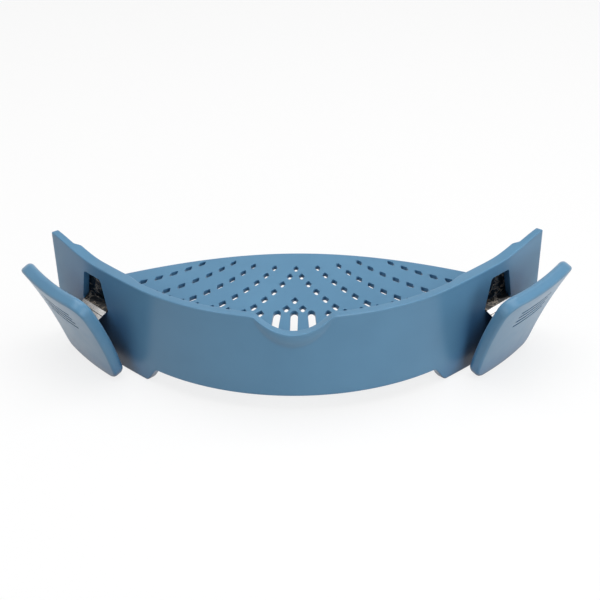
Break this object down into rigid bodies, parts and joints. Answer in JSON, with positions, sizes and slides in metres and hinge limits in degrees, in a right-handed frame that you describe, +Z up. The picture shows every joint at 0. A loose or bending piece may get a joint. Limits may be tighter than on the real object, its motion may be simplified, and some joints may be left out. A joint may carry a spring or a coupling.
{
  "type": "clip-on pot strainer",
  "caption": "Crescent-shaped moulded strainer with a perforated plate, a pouring spout and a sprung clip pad on each wing, for draining a pot.",
  "frame": {"origin": "middle of the overall box in plan, at the height of the surface that the two wings rest on", "axes": "+Z up, the pouring spout towards -Y, the open rear towards +Y, the wings and clips at -X and +X"},
  "size_m": [0.278, 0.0916, 0.0585],
  "materials": {
    "blue_silicone": "satin moulded food-grade silicone",
    "dark_nylon": "glass-filled nylon, as moulded",
    "polished_steel": "polished spring steel strip"
  },
  "bodies": {
    "strainer": {"strainer_bowl": "blue_silicone", "left_wing_insert": "dark_nylon", "right_wing_insert": "dark_nylon", "left_clip_spring": "polished_steel", "right_clip_spring": "polished_steel"},
    "left_clip": {"left_pad_core": "dark_nylon", "left_pad_cover": "blue_silicone"},
    "right_clip": {"right_pad_core": "dark_nylon", "right_pad_cover": "blue_silicone"}
  },
  "joints": [
    {"name": "left_clip_hinge", "type": "hinge", "parent": "strainer", "child": "left_clip", "pos_m": [-0.10611, 0.01273, 0.02658], "axis": [-0.6772, 0.7358, 0], "range_deg": [0, 30], "stiffness_Nm_per_rad": 0.6, "springref_deg": -17.19, "deforming": ["left_clip_spring"]},
    {"name": "right_clip_hinge", "type": "hinge", "parent": "strainer", "child": "right_clip", "pos_m": [0.10611, 0.01273, 0.02658], "axis": [-0.6772, -0.7358, 0], "range_deg": [0, 30], "stiffness_Nm_per_rad": 0.6, "springref_deg": -17.19, "deforming": ["right_clip_spring"]}
  ]
}
